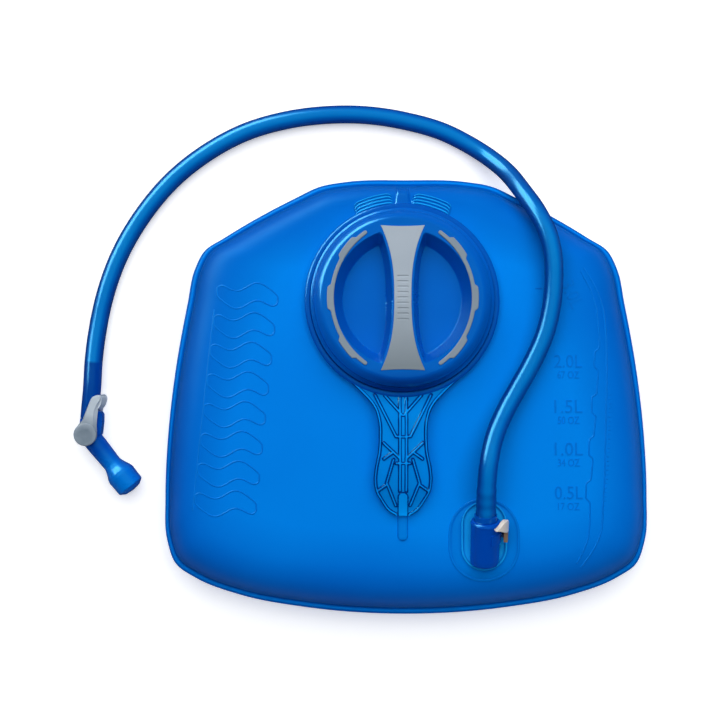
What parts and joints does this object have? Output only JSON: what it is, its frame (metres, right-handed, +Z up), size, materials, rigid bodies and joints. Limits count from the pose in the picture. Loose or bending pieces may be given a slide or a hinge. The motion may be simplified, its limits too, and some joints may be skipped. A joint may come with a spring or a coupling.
{
  "type": "hydration bladder",
  "caption": "Wide flat lumbar water bladder with a screw cap, ribbed handle, quick-release outlet, drink hose and bite valve with a shut-off lever.",
  "frame": {"origin": "on the resting surface, under the middle of the bag, which lies on its back", "axes": "+Z up out of the front face, +Y towards the cap end, +X towards the outlet side"},
  "size_m": [0.3439, 0.3075, 0.0651],
  "materials": {
    "film": "satin translucent blue film",
    "molded_blue": "glossy moulded blue",
    "clear_blue": "clear blue moulding",
    "dark_blue": "glossy dark blue",
    "soft_grey": "matte soft-touch grey",
    "grey_plastic": "satin grey",
    "pale_button": "satin off-white",
    "seal": "matte silicone",
    "silicone": "satin translucent silicone",
    "hose": "satin translucent hose",
    "spring_steel": "bright drawn wire"
  },
  "bodies": {
    "bag": {"back_film": "film", "front_film": "film", "port_collar": "molded_blue", "carry_handle": "clear_blue", "handle_anchor": "clear_blue", "outlet_base": "clear_blue", "outlet_socket": "dark_blue", "socket_plug": "dark_blue", "button_spring": "spring_steel", "poppet_spring": "spring_steel"},
    "cap_carrier": {"cap_gasket": "seal"},
    "cap": {"cap_shell": "molded_blue", "cap_grip": "soft_grey", "cap_inlay_left": "soft_grey", "cap_inlay_right": "soft_grey"},
    "button": {"release_button": "pale_button"},
    "poppet": {"valve_poppet": "seal", "poppet_seal": "seal"},
    "hose_line": {"hose_connector": "molded_blue", "connector_o_ring": "seal", "hose": "hose"},
    "mouthpiece": {"elbow_body": "dark_blue"},
    "shutoff": {"valve_rotor": "grey_plastic", "rotor_seals": "seal", "shutoff_lever": "grey_plastic"},
    "bite": {"bite_valve": "silicone"}
  },
  "joints": [
    {"name": "cap_lift", "type": "slide", "parent": "bag", "child": "cap_carrier", "axis": [0, 0.0523, 0.9986], "range_m": [0, 0.06]},
    {"name": "cap_turn", "type": "hinge", "parent": "cap_carrier", "child": "cap", "pos_m": [-0.003, 0.057, 0.037], "axis": [0, 0.0523, 0.9986], "range_deg": [0, 90]},
    {"name": "button_press", "type": "slide", "parent": "bag", "child": "button", "axis": [-1, 0, 0], "range_m": [0, 0.0015], "stiffness_N_per_m": 800, "springref_m": -0.001, "deforming": ["button_spring"]},
    {"name": "connector_pull", "type": "slide", "parent": "bag", "child": "hose_line", "axis": [0, 0.9511, 0.309], "range_m": [0, 0.022]},
    {"name": "poppet_slide", "type": "slide", "parent": "bag", "child": "poppet", "axis": [0, 0.9511, 0.309], "range_m": [0, 0.0016], "deforming": ["poppet_spring"]},
    {"name": "mouthpiece_swivel", "type": "hinge", "parent": "hose_line", "child": "mouthpiece", "pos_m": [-0.1925, -0.0225, 0.0108], "axis": [0.0872, 0.9962, 0], "continuous": true},
    {"name": "lever_turn", "type": "hinge", "parent": "mouthpiece", "child": "shutoff", "pos_m": [-0.1925, -0.0225, 0.0108], "axis": [0, 0, -1], "range_deg": [0, 80]},
    {"name": "bite_pull", "type": "slide", "parent": "mouthpiece", "child": "bite", "axis": [0.6293, -0.7771, 0], "range_m": [0, 0.018]}
  ],
  "couplings": [
    {"joint": "poppet_slide", "follows": "connector_pull", "ratio": 0.0727}
  ]
}
